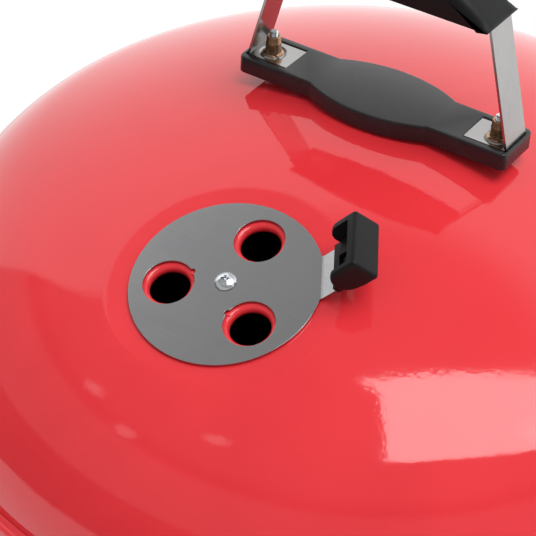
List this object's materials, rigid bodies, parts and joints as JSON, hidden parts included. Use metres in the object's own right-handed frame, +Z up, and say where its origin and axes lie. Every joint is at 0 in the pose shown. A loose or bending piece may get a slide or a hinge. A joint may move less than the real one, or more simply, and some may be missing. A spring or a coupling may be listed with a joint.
{
  "type": "kettle charcoal grill",
  "caption": "Free-standing round kettle charcoal grill with a red enamelled lid and bowl, turning lid damper, bowed lid handle over a heat shield, tubular legs and wheels.",
  "frame": {"origin": "on the ground under the middle of the kettle", "axes": "+Z up, X along the lid handle and from bowl handle to bowl handle, -Y towards the front leg and the lid damper"},
  "size_m": [0.698, 0.578, 0.999],
  "materials": {
    "red_enamel": "glossy porcelain enamel",
    "stainless": "satin",
    "zinc": "bright zinc plate",
    "bronze_zinc": "yellow zinc plate",
    "plated_wire": "nickel-plated wire",
    "raw_steel": "bare, dull steel",
    "dark_steel": "black enamel",
    "leg_aluminium": "satin drawn aluminium",
    "black_plastic": "matte moulded, fine grain",
    "wheel_plastic": "satin moulded",
    "tyre_rubber": "dull, hard rubber"
  },
  "bodies": {
    "kettle": {"bowl_shell": "red_enamel", "leg_front": "leg_aluminium", "leg_rear_right": "leg_aluminium", "leg_rear_left": "leg_aluminium", "leg_sockets": "dark_steel", "leg_screws": "zinc", "leg_plugs": "black_plastic", "front_foot": "black_plastic", "axle": "zinc", "axle_caps": "zinc", "wire_shelf": "plated_wire", "shelf_collars": "dark_steel", "ash_pan_clips": "dark_steel", "sweeper_bush": "zinc", "charcoal_grate_tabs": "dark_steel", "cooking_grate_tabs": "dark_steel", "bowl_handle_left": "zinc", "bowl_grip_left": "black_plastic", "bowl_handle_right": "zinc", "bowl_grip_right": "black_plastic"},
    "wheel_l": {"wheel_left": "wheel_plastic", "tyre_left": "tyre_rubber"},
    "wheel_r": {"wheel_right": "wheel_plastic", "tyre_right": "tyre_rubber"},
    "pan": {"ash_pan": "leg_aluminium"},
    "sweeper": {"sweeper_blades": "dark_steel", "sweeper_shaft": "zinc", "sweeper_lever": "zinc", "sweeper_grip": "black_plastic", "sweeper_nut": "zinc"},
    "fuel_grate": {"charcoal_grate": "raw_steel"},
    "food_grate": {"cooking_grate": "plated_wire"},
    "flap_l": {"grate_flap_left": "plated_wire"},
    "flap_r": {"grate_flap_right": "plated_wire"},
    "lid": {"lid_shell": "red_enamel", "damper_screw": "zinc", "damper_spring": "stainless", "damper_nut": "zinc", "heat_shield": "black_plastic", "handle_bracket_right": "stainless", "handle_bracket_left": "stainless", "lid_studs": "zinc", "handle_nuts": "bronze_zinc", "grip_screws": "zinc", "lid_grip": "black_plastic"},
    "damper": {"damper_plate": "stainless", "damper_grip": "black_plastic"}
  },
  "joints": [
    {"name": "lid_lift", "type": "slide", "parent": "kettle", "child": "lid", "axis": [0, 0, 1], "range_m": [0, 0.3]},
    {"name": "damper_turn", "type": "hinge", "parent": "lid", "child": "damper", "pos_m": [0, -0.16094, 0.85106], "axis": [0, -0.3382, 0.9411], "range_deg": [-60, 60]},
    {"name": "cooking_grate_lift", "type": "slide", "parent": "kettle", "child": "food_grate", "axis": [0, 0, 1], "range_m": [0, 0.02]},
    {"name": "flap_left_fold", "type": "hinge", "parent": "food_grate", "child": "flap_l", "pos_m": [-0.165, 0, 0.6898], "axis": [0, 1, 0], "range_deg": [0, 100]},
    {"name": "flap_right_fold", "type": "hinge", "parent": "food_grate", "child": "flap_r", "pos_m": [0.165, 0, 0.6898], "axis": [0, -1, 0], "range_deg": [0, 100]},
    {"name": "charcoal_grate_lift", "type": "slide", "parent": "kettle", "child": "fuel_grate", "axis": [0, 0, 1], "range_m": [0, 0.05]},
    {"name": "sweeper_turn", "type": "hinge", "parent": "kettle", "child": "sweeper", "pos_m": [0, 0, 0.47], "axis": [0, 0, 1], "range_deg": [0, 60]},
    {"name": "ash_pan_lift", "type": "slide", "parent": "kettle", "child": "pan", "axis": [0, 0, 1], "range_m": [0, 0.015]},
    {"name": "wheel_left_spin", "type": "hinge", "parent": "kettle", "child": "wheel_l", "pos_m": [-0.259, 0.12646, 0.076], "axis": [1, 0, 0], "continuous": true},
    {"name": "wheel_right_spin", "type": "hinge", "parent": "kettle", "child": "wheel_r", "pos_m": [0.259, 0.12646, 0.076], "axis": [1, 0, 0], "continuous": true}
  ]
}
